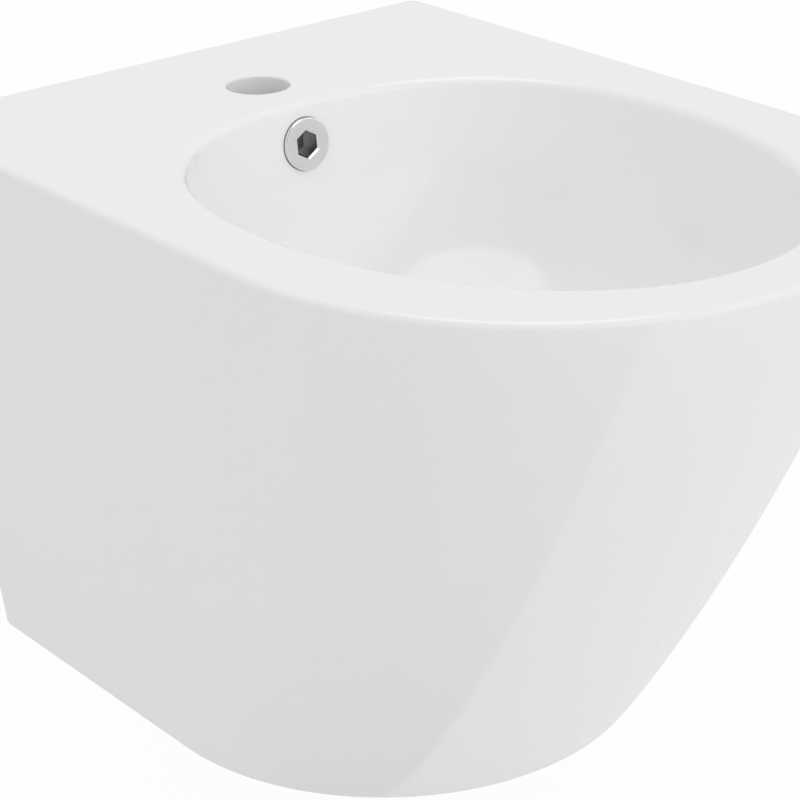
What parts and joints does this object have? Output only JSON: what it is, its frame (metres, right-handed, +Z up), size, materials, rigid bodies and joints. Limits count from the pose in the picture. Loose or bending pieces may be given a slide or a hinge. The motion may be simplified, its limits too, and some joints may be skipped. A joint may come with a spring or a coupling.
{
  "type": "wall-hung bidet",
  "caption": "Wall-hung bidet: glazed ceramic body with flat deck and oval bowl, tap hole, overflow ring, push-button waste and concealed wall fixings.",
  "frame": {"origin": "on the wall plane, midway between the two holes for the wall studs, 85 mm below the deck", "axes": "+Z up, +Y into the wall, the bowl and the front towards -Y, +X to the right seen from the front"},
  "size_m": [0.359, 0.4792, 0.32],
  "materials": {
    "glazed_china": "clear gloss glaze on white vitreous china",
    "chrome_trim": "polished chrome plate on brass",
    "black_rubber": "moulded, matt",
    "white_plastic": "moulded, fine matt",
    "plain_brass": "turned, unplated",
    "grey_plastic": "moulded, fine matt",
    "spring_steel": "drawn stainless wire",
    "zinc_plated_steel": "bright zinc plate"
  },
  "bodies": {
    "bidet": {"ceramic_body": "glazed_china", "overflow_ring": "chrome_trim", "overflow_gasket": "black_rubber", "overflow_insert": "white_plastic", "waste_body": "chrome_trim", "flange_gasket": "black_rubber", "cone_gasket": "black_rubber", "slip_washer": "white_plastic", "back_nut": "plain_brass", "cartridge_body": "grey_plastic", "cartridge_cap": "grey_plastic", "cartridge_spring": "spring_steel", "fixing_bush_left": "white_plastic", "fixing_washer_left": "zinc_plated_steel", "fixing_nut_left": "zinc_plated_steel", "fixing_bush_right": "white_plastic", "fixing_washer_right": "zinc_plated_steel", "fixing_nut_right": "zinc_plated_steel"},
    "plug": {"plug_cap": "chrome_trim", "plug_seal": "black_rubber", "plug_spindle": "plain_brass", "plug_lock_nut": "plain_brass"}
  },
  "joints": [
    {"name": "plug_slide", "type": "slide", "parent": "bidet", "child": "plug", "axis": [0, 0, 1], "range_m": [-0.009, 0], "stiffness_N_per_m": 600, "springref_m": 0.01, "deforming": ["cartridge_spring"]}
  ]
}
